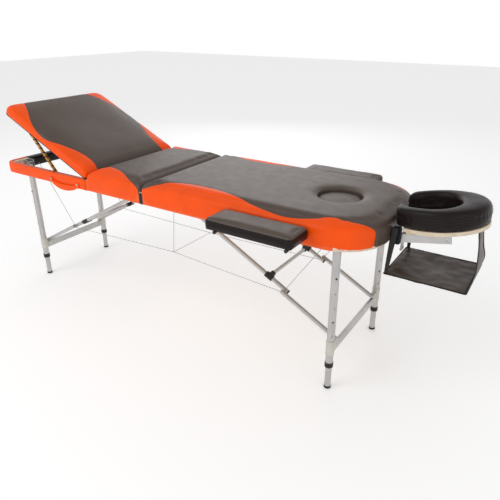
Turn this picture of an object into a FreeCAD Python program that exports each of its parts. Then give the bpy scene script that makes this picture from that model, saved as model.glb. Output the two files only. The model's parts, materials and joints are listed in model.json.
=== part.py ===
"""Portable three-section massage table with folding aluminium legs.

Millimetres. X runs along the table towards the head end, Y across it, Z up
from the floor. The table is open, at its lowest leg setting, back rest raised.
"""
import FreeCAD
import Part
import math
import os

V = FreeCAD.Vector
os.makedirs("parts", exist_ok=True)

# ---------------------------------------------------------------- driving sizes
HINGE_X = -173.5         # centre hinge line, so that the origin sits mid length
CLOSE_Z = 573.0          # underside of both halves, also the centre hinge axis
HALF_W = 280.0           # outer half width of the wrapped rails
RAIL_H = 46.0            # rail height
RAIL_T = 22.0            # rail thickness with its vinyl
BOARD_T = 4.0            # plywood boards
PAD_T = 44.0             # foam and vinyl over a board
PAD_R = 24.0             # rounding of the pads' upper edges
SEAT_LEAN = 14.0         # the seat and back rest pads lean apart, in degrees,
BACK_LEAN = 17.0         # so that the back rest can rise
PAD_OUT = 3.5            # the pads stand out over the rails by this much
FOOT_LEN = 890.0         # hinge line to the foot end
HEAD_LEN = 950.0         # hinge line to the head end
HEAD_R = 170.0           # head end corners, outside the rails
HEAD_IN_R = 130.0        # and inside them
SEAT_LEN = 316.0         # hinge line to the back rest hinge
GAP = 1.5                # each half stops this far from the hinge line

BACK_LEN = 572.0         # back rest pad
BACK_TILT = 25.0         # degrees, as it stands
BACK_X = -319.0          # back rest hinge, from the centre hinge
PROP_LEN = 272.0
PROP_AT = 439.0          # prop pivot along the back rest
PROP_DROP = 24.0         # degrees between the prop and the back rest board
PROP_Y = 245.0

LEG_X = 824.0            # leg pivots, from the centre hinge
LEG_DROP = 22.0          # leg pivots above the closing plane
LEG_R = 14.0             # outer tube radius
LEG_BORE = 12.6
INNER_R = 11.9           # lower tube radius
INNER_BORE = 10.4
LANE = {"head": 229.0, "foot": 197.0}       # the foot leg frame nests inside
LOWER_LANE = {"head": 180.0, "foot": 171.0}
UPPER_LANE = {"head": 157.0, "foot": 150.0}
FIT_R = 15.7             # plastic fittings on the legs
BAR_Z = 161.0            # leg cross bar height
BAR_H = 28.0
BAR_T = 12.0
KNEE_PIVOT_Z = 185.0     # lower brace pivot on the leg frame
COLLAR_Z = 95.0
COLLAR_H = 19.0
TIP_H = 9.0
HOLE_Z = [460.0, 403.0, 346.0, 289.0, 232.0]
BUTTON_ANGLE = {"head": 40.0, "foot": 10.0}   # from square across, towards the end

BRACE_R = 8.5
BRACE_X = 36.0           # upper brace pivots, from the centre hinge
BRACE_DROP = 37.0        # upper brace pivots above the closing plane, over the folded legs
UPPER_LEN = 636.4
LOWER_LEN = 258.9
TEE_AT = 555.0           # cross tube along the upper brace
TEE_R = 12.2
TEE_TOP = 8.7            # the tees are flat on top, to lie under the board when folded

HOLE_X = 725.0           # face opening, from the centre hinge
HOLE_A = 84.0            # along the table
HOLE_B = 80.0            # across the table

ARM_X0 = 412.0
ARM_X1 = 748.0
ARM_Y = 406.0
ARM_TOP = 648.0
ARM_ROD_Z = 599.0
ARM_ROD_X = [453.0, 727.0]

REST_PX = 972.0          # head rest tilting axis, from the centre hinge
REST_PZ = 600.0
REST_TILT = 8.0
REST_BAR_Y = 80.0
REST_X = 1096.0          # widest place of the head rest cushion, before tilting
REST_OVAL = (182.0, 148.0, 138.8)   # its length towards the table, away from it, half width
REST_Z0 = 632.0          # cushion underside before tilting
REST_Z1 = 702.0
REST_END = 970.0         # blunt ends of the horseshoe
SLOT_X = 1070.0          # widest place of its face opening
CUSHION_SLOT = (104.0, 80.0, 90.0)
DECK_SLOT = (90.0, 62.0, 68.0)      # and of the opening in its plywood deck
DECK_X0 = 998.0
DECK_T = 12.0
PIN_Z = 570.0            # clamp pin of the head rest
BAR_TILT = 11.0          # the carrying bars rise a little more steeply than the cushion
SLING_Z = 466.0
SLING_X0 = 955.0
SLING_X1 = 1216.0
SLING_Y = 125.0
WEB_T = 1.6              # sling webbing

CABLE_R = 1.1
LEG_Z = CLOSE_Z + LEG_DROP
RAIL_TOP = CLOSE_Z + RAIL_H
BOARD_TOP = RAIL_TOP + BOARD_T
PAD_TOP = BOARD_TOP + PAD_T
NODES = {}


# ---------------------------------------------------------------- helpers
def box(x0, x1, y0, y1, z0, z1):
    x0, x1 = min(x0, x1), max(x0, x1)
    y0, y1 = min(y0, y1), max(y0, y1)
    return Part.makeBox(x1 - x0, y1 - y0, z1 - z0, V(x0, y0, z0))


def rod(a, b, r, bore=0.0):
    """Round bar or tube from point a to point b."""
    a, b = V(*a), V(*b)
    d = b.sub(a)
    s = Part.makeCylinder(r, d.Length, a, d)
    if bore:
        s = s.cut(Part.makeCylinder(bore, d.Length, a, d))
    return s


def fuse(shapes):
    out = shapes[0]
    if len(shapes) > 1:
        out = out.multiFuse(shapes[1:])
    return out.removeSplitter()


def cut(shape, tools):
    for t in tools:
        shape = shape.cut(t)
    return shape


def group(shapes):
    return Part.makeCompound(shapes)


def save(name, shape):
    """Move a shape from hinge coordinates to the part frame and keep it."""
    shape = shape.copy()
    shape.translate(V(HINGE_X, 0, 0))
    NODES[name] = shape
    shape.exportStep("parts/%s.step" % name)


def rounded_plate(x0, x1, w, z0, z1, r_low, r_high):
    """Plate symmetric in Y, corner radius r_low at x0 and r_high at x1."""
    s = box(x0, x1, -w, w, z0, z1)
    for x, r in ((x0, r_low), (x1, r_high)):
        if r:
            picks = [e for e in s.Edges if upright(e, x)]
            s = s.makeFillet(r, picks)
    return s


def upright(e, x):
    a, b = e.Vertexes[0].Point, e.Vertexes[-1].Point
    same = abs(a.x - x) < 0.01 and abs(b.x - x) < 0.01
    return same and abs(a.y - b.y) < 0.01 and abs(a.z - b.z) > 1.0


def top_edges(s, z):
    return [e for e in s.Edges if all(abs(v.Point.z - z) < 0.01 for v in e.Vertexes)]


def soften(s, z, r):
    """Round every edge lying in the plane at height z."""
    return s.makeFillet(r, top_edges(s, z))


def turned(shape, at, deg, axis=(0, 1, 0)):
    s = shape.copy()
    s.rotate(V(*at), V(*axis), deg)
    return s


def oval(x, a, b, z0, z1):
    """Upright elliptic cylinder, half axes a along X and b along Y."""
    big, small = max(a, b), min(a, b)
    along = V(1, 0, 0) if a >= b else V(0, 1, 0)
    e = Part.Ellipse(V(x + along.x * big, along.y * big, z0),
                     V(x + along.y * small, along.x * small, z0), V(x, 0, z0))
    wire = Part.Wire([e.toShape()])
    return Part.Face(wire).extrude(V(0, 0, z1 - z0))


def polytube(points, r):
    """Thin cable through the points, with round joints."""
    parts = []
    for a, b in zip(points[:-1], points[1:]):
        parts.append(rod(a, b, r))
    for p in points[1:-1]:
        parts.append(Part.makeSphere(r, V(*p)))
    return fuse(parts)


# ---------------------------------------------------------------- frames and pads
def frame(side):
    """Ring of rails under one half, open in the middle."""
    sx = 1 if side == "head" else -1
    end = HEAD_LEN if side == "head" else FOOT_LEN
    r = HEAD_R if side == "head" else 46.0
    r_in = HEAD_IN_R if side == "head" else r - RAIL_T
    w = HALF_W
    x0, x1 = sorted((sx * GAP, sx * end))
    ends = (0, r) if sx > 0 else (r, 0)
    outer = rounded_plate(x0, x1, w, CLOSE_Z, RAIL_TOP, *ends)
    xi0, xi1 = sorted((sx * (GAP + RAIL_T), sx * (end - RAIL_T)))
    inner = (0, r_in) if sx > 0 else (r_in, 0)
    hollow = rounded_plate(xi0, xi1, w - RAIL_T, CLOSE_Z - 1, RAIL_TOP + 1, *inner)
    ring = outer.cut(hollow)
    ring = soften(ring, CLOSE_Z, 3.0)
    return ring


head_frame = frame("head")
foot_frame = frame("foot")

for x in ARM_ROD_X:
    for sy in (-1, 1):
        hole = rod((x, sy * 200, ARM_ROD_Z), (x, sy * 300, ARM_ROD_Z), 4.9)
        head_frame = head_frame.cut(hole)
for sy in (-1, 1):
    y = sy * REST_BAR_Y
    head_frame = head_frame.cut(rod((900, y, REST_PZ), (990, y, REST_PZ), 6.4))

face = oval(HOLE_X, HOLE_A, HOLE_B, 560, 700)
face_board = oval(HOLE_X, HOLE_A - 6, HOLE_B - 6, 560, 700)
w_board = HALF_W - 2
head_board = rounded_plate(GAP, HEAD_LEN - 2, w_board, RAIL_TOP, BOARD_TOP, 0, HEAD_R - 2)
save("head_board", head_board.cut(face_board))
seat_board = box(-SEAT_LEN, -GAP, -w_board, w_board, RAIL_TOP, BOARD_TOP)
save("seat_board", seat_board)


def wedge(x, low, deg):
    """Slanted end cut from a pad: positive leans towards +X going up."""
    run = 100 * math.tan(math.radians(deg))
    far = x - math.copysign(60, deg)
    corners = [(x, low), (x + run, low + 100), (far, low + 100), (far, low)]
    wire = Part.makePolygon([V(a, -400, z) for a, z in corners + corners[:1]])
    return Part.Face(wire).extrude(V(0, 800, 0))


def pad(x0, x1, r0, r1, low, top, lean=None):
    """Padded slab, with an optional slanted end as (x, degrees)."""
    w = HALF_W + PAD_OUT
    s = rounded_plate(x0, x1, w, low, top, r0, r1)
    if lean:
        s = s.cut(wedge(lean[0], low, lean[1]))
    s = soften(s, top, PAD_R)
    return soften(s, low, 3.0)


head_pad = pad(GAP, HEAD_LEN + PAD_OUT, 0, HEAD_R + PAD_OUT, BOARD_TOP, PAD_TOP)
save("head_pad", head_pad.cut(face))
seat_lean = (-SEAT_LEN, SEAT_LEAN)
save("seat_pad", pad(-SEAT_LEN, -GAP, 0, 0, BOARD_TOP, PAD_TOP, seat_lean))

PLUG_TOP = PAD_TOP - 12
plug = oval(HOLE_X, HOLE_A - 1.2, HOLE_B - 1.2, BOARD_TOP + 0.4, PLUG_TOP)
save("face_plug", soften(plug, PLUG_TOP, 8.0))

# ---------------------------------------------------------------- back rest
BACK_Z = RAIL_TOP + 0.6
back_at = (BACK_X, 0, BACK_Z)
board = rounded_plate(BACK_X - BACK_LEN + 4, BACK_X - 3, w_board, BACK_Z, BACK_Z + 4, 42, 0)
save("backrest_board", turned(board, back_at, BACK_TILT))
back_lean = (BACK_X - 1.5, -BACK_LEAN)
back = pad(BACK_X - BACK_LEN, BACK_X - 1.5, 48, 0, BACK_Z + 4, PAD_TOP - 2, back_lean)
save("backrest_pad", turned(back, back_at, BACK_TILT))

hinge_parts = []
for y in (-190, 0, 190):
    leaf = box(BACK_X - 34, BACK_X, y - 32, y + 32, BACK_Z - 2.6, BACK_Z - 0.2)
    knuckle = rod((BACK_X, y - 32, BACK_Z), (BACK_X, y + 32, BACK_Z), 2.6)
    hinge_parts.append(fuse([leaf, knuckle]))

prop_pivot = (BACK_X - PROP_AT, BACK_Z - 9.0)
for name, sy in (("near", -1), ("far", 1)):
    px, pz = prop_pivot
    y = sy * PROP_Y
    bar = box(px, px + PROP_LEN - 8, y - 5, y + 5, pz - 7, pz + 5)
    eye = rod((px, y - 5, pz), (px, y + 5, pz), 7.0)
    tip = rod((px + PROP_LEN - 8, y - 5, pz), (px + PROP_LEN - 8, y + 5, pz), 7.0)
    prop = fuse([bar, eye, tip])
    for k in range(9):
        nx = px + 60 + 21 * k
        prop = prop.cut(rod((nx, y - 6, pz - 8), (nx, y + 6, pz - 8), 4.2))
    prop = prop.cut(rod((px, y - 9, pz), (px, y + 9, pz), 3.3))
    prop = turned(prop, (px, 0, pz), PROP_DROP)
    save("prop_" + name, turned(prop, back_at, BACK_TILT))

mounts = hinge_parts
for sy in (-1, 1):
    px, pz = prop_pivot
    y = sy * PROP_Y
    plate = box(px - 12, px + 12, y - 9, y + 9, BACK_Z - 1.8, BACK_Z - 0.2)
    # the ear stands on the inner side, its pin carries the prop
    ye = y - sy * 7.5
    ear = fuse([box(px - 6, px + 6, ye - 1.5, ye + 1.5, pz, BACK_Z - 0.5),
                rod((px, ye - 1.5, pz), (px, ye + 1.5, pz), 6.0)])
    pin = rod((px, ye, pz), (px, y + sy * 5, pz), 3.0)
    mounts.append(fuse([plate, ear, pin]))
save("backrest_hardware", turned(group(mounts), back_at, BACK_TILT))


# ---------------------------------------------------------------- leg frames
def mirror(shape, side):
    """The foot half is the head half turned about the hinge line."""
    if side == "head":
        return shape
    return shape.mirror(V(0, 0, 0), V(1, 0, 0))


def leg_top(y):
    """Solid plug closing the tube, rounded about the leg pivot."""
    column = Part.makeCylinder(LEG_R, 20 + LEG_R, V(LEG_X, y, LEG_Z - 20))
    below = box(LEG_X - LEG_R, LEG_X + LEG_R, y - LEG_R, y + LEG_R, LEG_Z - 20, LEG_Z)
    round_top = rod((LEG_X, y - LEG_R, LEG_Z), (LEG_X, y + LEG_R, LEG_Z), LEG_R)
    return column.common(fuse([below, round_top]))


def leg_frame(side):
    lane = LANE[side]
    tubes, fits, collars = [], [], []
    a = math.radians(BUTTON_ANGLE[side])
    for sy in (-1, 1):
        y = sy * lane
        tube = rod((LEG_X, y, COLLAR_Z + 1), (LEG_X, y, LEG_Z), LEG_R, LEG_BORE)
        tube = fuse([tube, leg_top(y)])
        tube = tube.cut(rod((LEG_X, y - 30, LEG_Z), (LEG_X, y + 30, LEG_Z), 4.3))
        dx, dy = math.sin(a), -math.cos(a)
        for z in HOLE_Z:
            start = (LEG_X + dx * 10, y + dy * 10, z)
            stop = (LEG_X + dx * 22, y + dy * 22, z)
            tube = tube.cut(rod(start, stop, 3.6))
        tubes.append(tube)
        fits.append(coupler(side, sy))
        collars.append(collar(y))
    bar_w = lane - 26
    bar = box(LEG_X - BAR_T / 2, LEG_X + BAR_T / 2, -bar_w, bar_w,
              BAR_Z - BAR_H / 2, BAR_Z + BAR_H / 2)
    save(side + "_leg_tubes", mirror(group(tubes + [bar]), side))
    save(side + "_leg_fittings", mirror(group(fits), side))
    save(side + "_leg_collars", mirror(group(collars), side))


def collar(y):
    """Black guide collar at the foot of an outer tube."""
    s = rod((LEG_X, y, COLLAR_Z), (LEG_X, y, COLLAR_Z + COLLAR_H), FIT_R)
    s = s.cut(rod((LEG_X, y, COLLAR_Z + 1), (LEG_X, y, COLLAR_Z + COLLAR_H + 1), LEG_R))
    return s.cut(rod((LEG_X, y, COLLAR_Z - 1), (LEG_X, y, COLLAR_Z + 2), LEG_BORE))


def coupler(side, sy):
    """Plastic coupler with the cross bar socket and the brace pin."""
    lane, low = LANE[side], LOWER_LANE[side]
    y = sy * lane
    inner = lane - FIT_R
    sleeve = rod((LEG_X, y, 150), (LEG_X, y, 206), FIT_R)
    arm_to = inner - 22
    socket = box(LEG_X - 7, LEG_X + 7, sy * arm_to, sy * (lane - 6),
                 BAR_Z - BAR_H / 2, BAR_Z + BAR_H / 2 + 2)
    parts = [sleeve, socket]
    edge = low + BRACE_R + 0.8
    if inner - edge > 2:
        parts.append(box(LEG_X - 8, LEG_X + 8, sy * edge, sy * (lane - 6),
                         KNEE_PIVOT_Z - 14, KNEE_PIVOT_Z + 8))
    parts.append(rod((LEG_X, sy * (low - BRACE_R + 1), KNEE_PIVOT_Z),
                     (LEG_X, sy * (lane - 4), KNEE_PIVOT_Z), 3.5))
    s = fuse(parts)
    s = s.cut(rod((LEG_X, y, 130), (LEG_X, y, 210), LEG_R))
    bar_w = lane - 26
    s = s.cut(box(LEG_X - BAR_T / 2, LEG_X + BAR_T / 2, 0, sy * bar_w,
                  BAR_Z - BAR_H / 2, BAR_Z + BAR_H / 2))
    # clearance round the swinging brace end
    s = s.cut(box(LEG_X - 12, LEG_X + 12, sy * (low - BRACE_R - 0.8),
                  sy * (low + BRACE_R + 0.8), KNEE_PIVOT_Z - 11.4, KNEE_PIVOT_Z + 40)
              .cut(rod((LEG_X, sy * 100, KNEE_PIVOT_Z), (LEG_X, sy * 260, KNEE_PIVOT_Z), 3.5)))
    return s


def lower_legs(side):
    a = math.radians(BUTTON_ANGLE[side])
    dx, dy = math.sin(a), -math.cos(a)
    for name, sy in (("near", -1), ("far", 1)):
        y = sy * LANE[side]
        tube = rod((LEG_X, y, 4), (LEG_X, y, 478), INNER_R, INNER_BORE)
        for z in (HOLE_Z[0], HOLE_Z[0] - 171.0):
            tube = tube.cut(rod((LEG_X, y, z), (LEG_X + dx * 20, y + dy * 20, z), 3.8))
        save("%s_leg_%s_inner" % (side, name), mirror(tube, side))
        tip = rod((LEG_X, y, 0), (LEG_X, y, TIP_H), 13.2)
        tip = tip.makeFillet(1.5, top_edges(tip, 0))
        tip = tip.cut(rod((LEG_X, y, 4), (LEG_X, y, TIP_H + 1), INNER_R))
        save("%s_leg_%s_tip" % (side, name), mirror(tip, side))


def buttons(side):
    a = math.radians(BUTTON_ANGLE[side])
    for name, sy in (("near", -1), ("far", 1)):
        y = sy * LANE[side]
        dx, dy = math.sin(a), -math.cos(a)
        z = HOLE_Z[0]
        stem = rod((LEG_X + dx * 13.0, y + dy * 13.0, z),
                   (LEG_X + dx * 16.0, y + dy * 16.0, z), 3.3)
        save("%s_button_%s" % (side, name), mirror(stem, side))


def brace_dir():
    drop = CLOSE_Z + BRACE_DROP - KNEE_PIVOT_Z
    run = LEG_X - BRACE_X
    n = math.hypot(drop, run)
    return run / n, -drop / n


def tee(x, y, z, sy):
    """Black fitting on a level upper brace, its arm turned to the middle of the table."""
    run = rod((x - 17, y, z), (x + 17, y, z), TEE_R)
    arm = rod((x, y, z), (x, y - sy * 30, z), 11.0)
    body = fuse([run, arm])
    body = body.cut(box(x - 30, x + 30, y - 50, y + 50, z + TEE_TOP, z + 30))
    body = body.cut(rod((x - 40, y, z), (x + 40, y, z), BRACE_R))
    return body.cut(rod((x, y, z), (x, y - sy * 31, z), 8.0))


def braces(side):
    """Upper braces are drawn level, as they lie when folded, and turned down about their pivots."""
    cx, cz = brace_dir()
    slope = math.degrees(math.atan2(-cz, cx))
    qx, qz = BRACE_X, CLOSE_Z + BRACE_DROP
    up, lo = UPPER_LANE[side], LOWER_LANE[side]
    uppers, lowers, black = [], [], []
    end = qx + UPPER_LEN + 12
    for sy in (-1, 1):
        y = sy * up
        u = fuse([rod((qx, y, qz), (end, y, qz), BRACE_R), Part.makeSphere(BRACE_R, V(qx, y, qz))])
        uppers.append(u.cut(rod((qx, y - 20, qz), (qx, y + 20, qz), 3.4)))
        black.append(tee(qx + TEE_AT, y, qz, sy))
        black.append(rod((end, y, qz), (end + 4, y, qz), BRACE_R))
        # lower brace: from its pin on the leg frame up past the knee
        yl = sy * lo
        rx, rz = LEG_X, KNEE_PIVOT_Z
        kl = (rx - (LOWER_LEN + 8) * cx, rz - (LOWER_LEN + 8) * cz)
        s = fuse([rod((rx, yl, rz), (kl[0], yl, kl[1]), BRACE_R),
                  Part.makeSphere(BRACE_R, V(rx, yl, rz))])
        lowers.append(s.cut(rod((rx, yl - 20, rz), (rx, yl + 20, rz), 3.9)))
    gap = up - BRACE_R - 0.4
    uppers.append(rod((qx + TEE_AT, -gap, qz), (qx + TEE_AT, gap, qz), 7.6))
    pivot = (qx, 0, qz)
    save(side + "_upper_braces", mirror(turned(group(uppers), pivot, slope), side))
    save(side + "_brace_fittings", mirror(turned(group(black), pivot, slope), side))
    save(side + "_lower_braces", mirror(group(lowers), side))


def brackets(side):
    """Steel forks that carry the leg tops and the upper brace ends."""
    out = []
    top = RAIL_TOP if side == "head" else RAIL_TOP - 0.5
    for sy in (-1, 1):
        y = sy * LANE[side]
        for s in (-1, 1):
            ya = y + s * (LEG_R + 0.6)
            yb = y + s * (LEG_R + 3.0)
            plate = box(LEG_X - 13, LEG_X + 22, ya, yb, LEG_Z - 13, top)
            out.append(plate)
        out.append(rod((LEG_X, y - LEG_R - 3, LEG_Z), (LEG_X, y + LEG_R + 3, LEG_Z), 4.0))
        web = box(LEG_X + 18, LEG_X + 22, y - LEG_R - 3, y + LEG_R + 3, LEG_Z - 13, top)
        out.append(web)
        yu = sy * UPPER_LANE[side]
        qz = CLOSE_Z + BRACE_DROP
        for s in (-1, 1):
            ya = yu + s * (BRACE_R + 0.8)
            yb = yu + s * (BRACE_R + 3.2)
            out.append(box(BRACE_X - 12, BRACE_X + 12, ya, yb, qz - 9, RAIL_TOP))
        out.append(rod((BRACE_X, yu - 12, qz), (BRACE_X, yu + 12, qz), 3.0))
    return fuse_islands(out)


def fuse_islands(shapes):
    return shapes[0].multiFuse(shapes[1:])


FORKS = {}
for side in ("head", "foot"):
    leg_frame(side)
    lower_legs(side)
    buttons(side)
    braces(side)
    FORKS[side] = mirror(brackets(side), side)

# wooden leg blocks across the foot end, inside the rails
blocks = box(-FOOT_LEN + RAIL_T, -LEG_X - 22.2, -HALF_W + RAIL_T, HALF_W - RAIL_T,
             CLOSE_Z + 16, RAIL_TOP - 0.5)
inner_corner = rounded_plate(-FOOT_LEN + RAIL_T, -400, HALF_W - RAIL_T, CLOSE_Z, RAIL_TOP, 24, 0)
save("foot_leg_block", blocks.common(inner_corner))


# ---------------------------------------------------------------- centre hinges
# the knuckles sit under the closing plane, one leaf on each half
KN = 3.4


def leaf(sx):
    out = []
    for sy in (-1, 1):
        for k in range(4):
            if (k % 2 == 0) != (sx > 0):
                continue
            y0 = sy * (212 + 16.5 * k)
            y1 = sy * (228 + 16.5 * k)
            knuckle = rod((0, y0, CLOSE_Z), (0, y1, CLOSE_Z), KN, 1.8)
            tab = box(0, sx * 26, y0, y1, CLOSE_Z, CLOSE_Z + 2.2)
            tab = tab.cut(rod((0, sy * 200, CLOSE_Z), (0, sy * 300, CLOSE_Z), KN - 0.4))
            out.append(fuse([knuckle, tab]))
    return out


def hinge_pocket(sx):
    """Room in the rails for both leaves and all the knuckles."""
    out = []
    for sy in (-1, 1):
        out.append(box(0, sx * 27, sy * 211, sy * 278.6, CLOSE_Z - 1, CLOSE_Z + 2.3))
        out.append(rod((0, sy * 211, CLOSE_Z), (0, sy * 278.6, CLOSE_Z), KN + 0.5))
    return out


pins = [rod((0, sy * 212, CLOSE_Z), (0, sy * 277.5, CLOSE_Z), 1.5) for sy in (-1, 1)]
save("head_hardware", group([FORKS["head"]] + leaf(1)))
save("foot_hardware", group([FORKS["foot"]] + leaf(-1) + pins))
save("head_frame", cut(head_frame, hinge_pocket(1)))
save("foot_frame", cut(foot_frame, hinge_pocket(-1)))

# ---------------------------------------------------------------- carry handle
HANDLE = [(-544, 584), (-522, 568), (-498, 559), (-470, 556.5), (-430, 559), (-396, 569), (-372, 584)]


def handle():
    y0, y1 = -HALF_W - 0.3, -HALF_W - 4.8
    strap = []
    for (ax, az), (bx, bz) in zip(HANDLE[:-1], HANDLE[1:]):
        d = math.hypot(bx - ax, bz - az)
        slab = box(0, d, y1 - 3, y0 - 3, -4, 4)
        ang = math.degrees(math.atan2(bz - az, bx - ax))
        slab.rotate(V(0, 0, 0), V(0, 1, 0), -ang)
        slab.translate(V(ax, 0, az))
        strap.append(slab)
        strap.append(rod((bx, y1 - 3, bz), (bx, y0 - 3, bz), 4.0))
    for x, _ in (HANDLE[0], HANDLE[-1]):
        strap.append(box(x - 9, x + 9, -HALF_W - 8, -HALF_W, 574, 600))
    return fuse(strap)


save("carry_handle", handle())


# ---------------------------------------------------------------- arm rests
def arm(sy):
    y0 = HALF_W + PAD_OUT + 1.2
    base = box(ARM_X0 + 6, ARM_X1 - 6, sy * (y0 + 5), sy * (ARM_Y - 6), 603.8, 608.5)
    cushion = box(ARM_X0, ARM_X1, sy * y0, sy * ARM_Y, 603.8, ARM_TOP)
    ups = [e for e in cushion.Edges
           if abs(e.Vertexes[0].Point.z - e.Vertexes[-1].Point.z) > 1]
    cushion = cushion.makeFillet(9.0, ups)
    cushion = soften(cushion, ARM_TOP, 5.0).cut(base)
    rods = []
    for x in ARM_ROD_X:
        rods.append(rod((x, sy * (HALF_W - RAIL_T - 2), ARM_ROD_Z), (x, sy * 396, ARM_ROD_Z), 4.5))
        rods.append(rod((x, sy * 394, ARM_ROD_Z), (x, sy * 403, ARM_ROD_Z), 6.2))
    tag = "near" if sy < 0 else "far"
    low = fuse([base] + [r for r in rods])
    save("arm_pad_" + tag, cushion.cut(low))
    save("arm_carrier_" + tag, low)


arm(-1)
arm(1)


# ---------------------------------------------------------------- head rest
rest_at = (REST_PX, 0, REST_PZ)


def two_ovals(cx, sizes, grow, z0, z1):
    """Plate whose outline is one half oval towards the table and another away from it."""
    towards, away, half = [v + grow for v in sizes]
    left = oval(cx, towards, half, z0, z1).common(box(cx - 400, cx, -400, 400, z0 - 1, z1 + 1))
    right = oval(cx, away, half, z0, z1).common(box(cx, cx + 400, -400, 400, z0 - 1, z1 + 1))
    return left.fuse(right).removeSplitter()


def horseshoe(grow, slot, x0, z0, z1):
    """Ring that is open towards the table, where it ends bluntly at x0."""
    outer = two_ovals(REST_X, REST_OVAL, grow, z0, z1)
    ring = outer.cut(two_ovals(SLOT_X, slot, 0, z0 - 1, z1 + 1))
    return ring.common(box(x0, 1400, -300, 300, z0 - 1, z1 + 1))


def tilted(shape, angle=REST_TILT):
    return turned(shape, rest_at, -angle)


def rest_carrier():
    rods = []
    for sy in (-1, 1):
        y = sy * REST_BAR_Y
        rods.append(rod((905, y, REST_PZ), (956, y, REST_PZ), 6.0))
    save("rest_rods", group(rods))
    yoke = []
    for sy in (-1, 1):
        yoke.append(box(956, 961, sy * 71, sy * 91.4, 584, 616))
        plate = box(957, 986, sy * 84.8, sy * 91.4, PIN_Z - 5, REST_PZ + 28)
        edges = [e for e in plate.Edges if abs(e.Vertexes[0].Point.y - e.Vertexes[-1].Point.y) > 1]
        yoke.append(plate.makeFillet(9.0, edges))
        yoke.append(rod((REST_PX, sy * 74, REST_PZ), (REST_PX, sy * 91.4, REST_PZ), 4.0))
    yoke.append(rod((REST_PX, -86, PIN_Z), (REST_PX, 86, PIN_Z), 3.5))
    save("rest_yoke", fuse(yoke))
    hub = rod((REST_PX, -16, PIN_Z), (REST_PX, 16, PIN_Z), 9.0)
    grip = box(REST_PX - 6, REST_PX, -11, 11, PIN_Z - 58, PIN_Z - 4)
    end = rod((REST_PX - 3, -11, PIN_Z - 56), (REST_PX - 3, 11, PIN_Z - 56), 5.0)
    lever = fuse([hub, grip, end])
    save("rest_lever", lever.cut(rod((REST_PX, -20, PIN_Z), (REST_PX, 20, PIN_Z), 3.7)))


def rest_top():
    deck_z = REST_Z0 - DECK_T
    bars, wedges = [], []
    for sy in (-1, 1):
        y0, y1 = sy * 76, sy * 84
        bar = fuse([box(984, 1141, y0, y1, 571, 599),
                    box(REST_PX, 990, y0, y1, 591, 599),
                    rod((REST_PX, y0, REST_PZ), (REST_PX, y1, REST_PZ), 9.5)])
        bar = bar.cut(rod((REST_PX, sy * 60, REST_PZ), (REST_PX, sy * 99, REST_PZ), 4.3))
        bar = bar.cut(rod((1130, sy * 60, 583), (1130, sy * 99, 583), 3.2))
        bars.append(tilted(bar, BAR_TILT))
        block = tilted(box(1000, 1138, y0, y1, 599.3, 640), BAR_TILT)
        wedges.append(block.common(tilted(box(900, 1300, -100, 100, 500, deck_z))))
    save("rest_bars", group(bars))
    deck = tilted(horseshoe(-4, DECK_SLOT, DECK_X0, deck_z, REST_Z0))
    save("rest_platform", fuse([deck] + wedges))
    pad_shape = horseshoe(0, CUSHION_SLOT, REST_END, REST_Z0, REST_Z1)
    save("rest_cushion", tilted(soften(pad_shape, REST_Z1, 9.0)))


def web(corners, thick, outward=(1, 0, 0)):
    """Flat piece of webbing with four corners, thickened to the outward side."""
    wire = Part.makePolygon([V(*c) for c in corners + corners[:1]])
    face = Part.Face(wire)
    n = face.normalAt(0, 0)
    if n.dot(V(*outward)) < 0:
        n = n * -1
    return face.extrude(n * thick)


# the flap at the head end: (x, half width, z) from the panel up to the deck
FLAP = [(1217.6, 125, 465), (1228, 84, 512), (1222, 42, 572), (1208, 38, 652)]
# the two straps beside the table end: (x, half width, z) outline, from the panel up
SIDE_STRAP = [(953, 125.4, 465), (966, 125.4, 465), (980, 108, 627), (957, 108, 627)]


def sling():
    t = 2.0
    panel = box(SLING_X0, SLING_X1, -SLING_Y, SLING_Y, SLING_Z - t / 2, SLING_Z + t / 2)
    save("sling_panel", panel)
    flap = []
    for (x0, w0, z0), (x1, w1, z1) in zip(FLAP[:-1], FLAP[1:]):
        flap.append(web([(x0, -w0, z0), (x0, w0, z0), (x1, w1, z1), (x1, -w1, z1)], WEB_T))
    straps = [fuse(flap)]
    for sy in (-1, 1):
        corners = [(x, sy * y, z) for x, y, z in SIDE_STRAP]
        straps.append(web(corners, WEB_T, (0, sy, 0)))
    save("sling_straps", group(straps))


rest_carrier()
rest_top()
sling()

# ---------------------------------------------------------------- steel cables
knee_x = BRACE_X + UPPER_LEN * brace_dir()[0]
knee_z = CLOSE_Z + BRACE_DROP + UPPER_LEN * brace_dir()[1]
CZ = knee_z - 8
near_mid = V(52, -168, 333)
far_mid = V(-10, 168, 288)


def short_of(point, start, clear=2.6):
    """The point where a cable from start ends, just before the joint ring at the point."""
    way = V(*start).sub(point)
    way.normalize()
    return tuple(point.add(way.multiply(clear)))


def cable(name, runs):
    save(name, group([polytube(r, CABLE_R) for r in runs]))


for sx, side in ((1, "head"), (-1, "foot")):
    y = UPPER_LANE[side] + 9.5
    end_near = (sx * (knee_x - 2), -y, CZ)
    end_far = (sx * (knee_x - 2), y, CZ)
    slack = [(300, -168, 317)] if side == "head" else []
    last = slack[-1] if slack else end_near
    cable("cable_near_" + side, [[end_near] + slack + [short_of(near_mid, last)]])
    cable("cable_far_" + side, [[end_far, short_of(far_mid, end_far, 1.6)]])
    lane = LANE[side] - 34
    legs = []
    for sy in (-1, 1):
        start = (sx * knee_x, sy * (y + 1.6), knee_z)
        legs.append([start, (sx * (LEG_X - 26), sy * lane, RAIL_TOP - 18)])
    cable("cable_stays_" + side, legs)
cross_end = (-9, 165, 288.4)
hook = (84, -177, RAIL_TOP - 1)
cable("cable_centre", [[tuple(near_mid), cross_end], [short_of(near_mid, hook, 0.0), hook]])

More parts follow.
